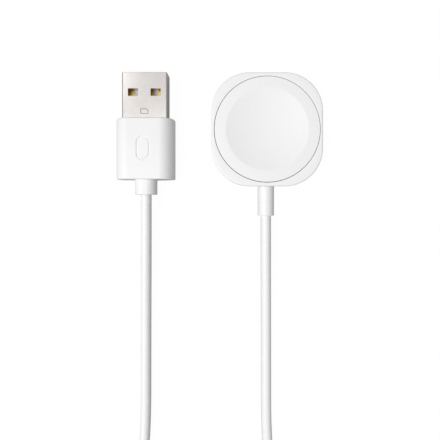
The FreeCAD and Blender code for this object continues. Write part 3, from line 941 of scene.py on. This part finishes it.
def head_cup():
    """The cup of the head as one skin."""
    outside = bent([
        (head_half_width, 0.0, 0), (head_draft, 0.0, base_round),
        (0.0, head_height, rim_round), (head_half_width - seat_radius, head_height, 0),
    ])
    inside = bent([
        (seat_radius + 1.0, head_height, 0), (seat_radius, head_height, mouth_round),
        (seat_radius, seat_level, seat_round), (cavity_radius, seat_level, ledge_round),
        (cavity_radius, head_floor, floor_round), (0.0, head_floor, 0),
    ])
    # The end corners that are left out of the rings only give the profiles a direction.
    rings = [round_ring(0.0, 0.0)]
    rings += [head_ring(inset, level) for inset, level in outside[1:-1]]
    rings += [round_ring(radius, level) for radius, level in inside[1:]]
    return skin("head_shell", rings)


# %% Cable hole and posts
def rod(name, radius, start, end, sides=64):
    """A plain round bar between two points, for cutting and joining."""
    start, end = Vector(start), Vector(end)
    turn = (end - start).to_track_quat("Z", "Y")
    rings = []
    for share, size in ((0, 0), (0, radius), (1, radius), (1, 0)):
        middle = start.lerp(end, share)

        def place(a, b):
            return middle + turn @ Vector((a, b, 0))

        rings.append(flat_ring(size, size, size, place, sides))
    return skin(name, rings)


def head_shell():
    """The cup with its cable hole, its four posts and the pins on them."""
    shell = head_cup()
    hole = rod("hole", hole_radius, *((0, along, cord_at_head) for along in hole_run))
    shell = combined(shell, hole, "DIFFERENCE")
    for quarter in range(4):
        angle = math.radians(45 + 90 * quarter)
        x, y = post_circle * math.cos(angle), post_circle * math.sin(angle)
        for name, radius, levels in (
            ("post", post_radius, post_levels), ("pin", pin_radius, pin_levels),
        ):
            bar = rod(name, radius, *((x, y, level) for level in levels))
            shell = combined(shell, bar, "UNION")
    return shell


finished(head_shell(), "shell_white", "charger_shell")

# %% [markdown]
# ## Charging face
# The face is a disc with a shallow dish that matches the curved back of a watch. Its rim is flat,
# its dish is part of a large sphere, and a small radius softens the edge between them. A sphere
# could be cut out of a cylinder, but the soft edge is easier to draw in a profile. It is a turned
# shape, so its rings are all circles. It stands a tenth of a millimetre proud of the shell, and the
# thin gap round it, with painted shade on its walls, draws the fine dark circle in the picture.

# %% Charging face
face_radius = 13.75
face_under, face_top = 6.3, 8.0
dish_radius, dish_depth = 10.8, 1.1
face_under_round, face_rim_round, dish_rim_round = 0.05, 0.10, 0.9
dish_shares = (1, 0.9, 0.78, 0.66, 0.54, 0.42, 0.3, 0.2, 0.1, 0)


def charging_face():
    """The disc as one skin, from the middle of its underside round to the bottom of the dish."""
    sphere = (dish_radius**2 + dish_depth**2) / (2 * dish_depth)
    bottom = face_top - dish_depth
    dish = []
    for share in dish_shares:
        radius = dish_radius * share
        dish.append((radius, bottom + sphere - math.sqrt(sphere**2 - radius**2)))
    profile = bent([
        (0.0, face_under, 0), (face_radius, face_under, face_under_round),
        (face_radius, face_top, face_rim_round), (dish_radius, face_top, dish_rim_round),
        (*dish[1], 0),
    ], 10)
    profile = profile[:-1] + [Vector(point) for point in dish[1:]]
    return skin("charging_face_disc", [round_ring(radius, level) for radius, level in profile])


finished(charging_face(), "face_white", "charging_face")

# %% [markdown]
# ## Sleeve
# Where the cord leaves the head, a soft sleeve is moulded round it. Inside the shell the sleeve
# has a neck in the wall and a flange that keeps it from being pulled out. A lathed tube would do
# for its outer end, but the flange is a rounded rectangle with one side bent to the wall of the
# cavity. So it is one tube of rings, skinned along Y from the outer end of the bore, over the
# outside, and back through the middle.

# %% Sleeve
sleeve_radius, neck_radius = 2.22, 1.9
sleeve_end, head_wall = -22.65, -14.72
bore_round, sleeve_round = 0.12, 0.15
flange = (3.1, 2.45, 0.8)
flange_front, bore_radius = -11.5, 1.445


def sleeve_ring(half_width, half_height, corner, along):
    """A ring across the cord. Along is a place on Y, or a rule that gives it from x."""
    def place(x, z):
        return x, along(x) if callable(along) else along, z + cord_at_head
    return flat_ring(half_width, half_height, corner, place)


def against_cavity(x):
    """Where the round wall of the cavity is, at this x."""
    return -math.sqrt(cavity_radius**2 - x**2)


def sleeve():
    """The sleeve with its neck and flange as one closed skin."""
    profile = bent([
        (bore_radius, sleeve_end, bore_round), (sleeve_radius, sleeve_end, sleeve_round),
        (sleeve_radius, head_wall, 0), (neck_radius, head_wall, 0),
    ])
    rings = [sleeve_ring(radius, radius, radius, along) for radius, along in profile]
    rings.append(sleeve_ring(neck_radius, neck_radius, neck_radius, against_cavity))
    rings.append(sleeve_ring(*flange, against_cavity))
    rings.append(sleeve_ring(*flange, flange_front))
    rings.append(sleeve_ring(bore_radius, bore_radius, bore_radius, flange_front))
    return skin("cord_sleeve", rings, closed=True)


cord_sleeve = finished(sleeve(), "sleeve_white", "head_strain_relief")

# %% [markdown]
# ## Plug body
# The body is moulded over the rear of the plug in one shot with its stub. Its section is flat on
# top and bottom and almost half round at the sides. The rings run along Y: over the front, down
# the outside, round the stub, and then back through the bore and the pockets that hold the inner
# mould and the steel shell. A solid block would look the same from outside, but the pockets keep
# it clear of the pieces that it holds.

# %% Sizes of the plug body
# A section across the plug is its half width, half height and corner.
plug_x, plug_z = -32.4, 3.9
body_section, body_front, body_rear = (7.85, 3.90, 3.75), 3.2, -12.95
stub_section, stub_end = (2.95, 2.60, 2.55), -17.0
shell_room, shell_rear = (6.01, 2.26, 0.46), -3.25
mould_room, mould_rear = (5.71, 2.71, 1.21), -10.85
front_round, rear_round, stub_round = 0.45, 0.25, 0.20


# %% Plug body
def body_ring(half_width, half_height, corner, along):
    """A ring across the plug, about its own axis."""
    return flat_ring(
        half_width, half_height, corner, lambda x, z: (x + plug_x, along, z + plug_z)
    )


def plug_body():
    """The body, its stub and its pockets as one closed skin."""
    bore = (bore_radius, bore_radius, bore_radius)
    outside = bent([
        (3.0, body_front, 0), (0.0, body_front, front_round),
        (0.0, body_rear, rear_round), (3.0, body_rear, 0),
    ])
    stub = bent([(0.0, body_rear, 0), (0.0, stub_end, stub_round), (1.2, stub_end, 0)])
    rings = [body_ring(*mould_room, shell_rear), body_ring(*shell_room, shell_rear)]
    rings.append(body_ring(*shell_room, body_front))
    for section, profile in ((body_section, outside[1:-1]), (stub_section, stub[:-1])):
        for inset, along in profile:
            rings.append(body_ring(*(size - inset for size in section), along))
    rings.append(body_ring(*bore, stub_end))
    rings.append(body_ring(*bore, mould_rear))
    rings.append(body_ring(*mould_room, mould_rear))
    return skin("plug_body", rings, closed=True)


# %% [markdown]
# The oval line on top of the body shows the thumb which side is up. Drawn in colour, it would have
# no edge for the light to catch. In the mould it is a raised wire, so it is cut here the same way:
# with a rod bent to an oval that sinks 0.22 mm into the top.

# %% Thumb line
thumb_half_width, thumb_half_length = 1.60, 2.95
groove_steps, groove_sides = 120, 16
groove_radius, groove_lift = 0.24, 0.02


def oval_point(angle):
    """A point of the oval line and the outward direction there, both from the oval's centre."""
    reach = ray_reach(angle, thumb_half_width, thumb_half_length, thumb_half_width)
    x, y = reach * math.cos(angle), reach * math.sin(angle)
    straight = thumb_half_length - thumb_half_width
    nearest = min(max(y, -straight), straight)
    return x, y, Vector((x, y - nearest, 0)).normalized()


def thumb_groove():
    """A rod bent to an oval, sunk so that only its lower part cuts the top of the body."""
    level = plug_z + body_section[1] + groove_lift
    middle_y = (body_front + body_rear) / 2
    rings = []
    for step in range(groove_steps):
        x, y, across = oval_point(2 * math.pi * step / groove_steps)
        centre = Vector((plug_x + x, middle_y + y, level))
        rings.append(flat_ring(groove_radius, groove_radius, groove_radius,
                               lambda a, b: centre + across * a + Vector((0, 0, b)), groove_sides))
    return skin("groove", rings, closed=True)


body = combined(plug_body(), thumb_groove(), "DIFFERENCE")
body = finished(body, "plug_body_white", "plug_housing")

# %% [markdown]
# ## Tie
# The coil is held by one strap of woven tape that goes once round its turns and laps over itself
# on top. A flat ring would hold the coil as well, but the lap is what makes it a strap. So it is a
# flat section carried along a path round the bundle, and where the end laps over the start, the
# path rises by the thickness of the tape.

# %% Path of the tie
tie_half_width, tie_thickness, tie_edge_round = 3.5, 0.5, 0.2
bundle_half_width, bundle_half_height = 6.82, 2.85
tie_corner, tie_lift = 1.2, 0.5
tie_steps, tie_points = 160, 64
lap_start, lap_end = math.radians(110), math.radians(62)
lap_lead, lap_slope, lap_rise = 0.45, 0.4, 0.52


def tie_path():
    """Places across and above the middle of the bundle, from the start on top round and over."""
    turn = 2 * math.pi + lap_start - lap_end
    places = []
    for step in range(tie_steps + 1):
        turned = turn * step / tie_steps
        angle = lap_start - turned
        lapped = min(max((turned - 2 * math.pi + lap_lead) / lap_slope, 0.0), 1.0)
        grown = tie_thickness / 2 + lap_rise * lapped * lapped * (3 - 2 * lapped)
        reach = ray_reach(
            angle, bundle_half_width + grown, bundle_half_height + grown, tie_corner + grown
        )
        places.append(Vector((reach * math.cos(angle), reach * math.sin(angle))))
    return places


# %% Tie
def tie():
    """The strap: flat sections along its path, shut at both ends."""
    path = tie_path()
    middle = Vector((
        coil_centre[0], coil_centre[1] - coil_mean_radius, tie_lift + bundle_half_height
    ))
    rings = []
    for index, here in enumerate(path):
        ahead = path[min(index + 1, len(path) - 1)] - path[max(index - 1, 0)]
        outward = Vector((-ahead.y, ahead.x)).normalized()

        def place(a, b):
            spot = here + outward * b
            return middle + Vector((a, -spot.x, spot.y))

        section = flat_ring(tie_half_width, tie_thickness / 2, tie_edge_round, place, tie_points)
        shut = flat_ring(0.0, 0.0, 0.0, place, tie_points)
        if index == 0:
            rings.append(shut)
        rings.append(section)
        if index == len(path) - 1:
            rings.append(shut)
    return skin("coil_strap", rings)


strap = finished(tie(), "tie_white", "coil_tie")

# %% [markdown]

# %% [markdown]
# Last, the view layer is brought up to date.

# %% Bring the view layer up to date
bpy.context.view_layer.update()
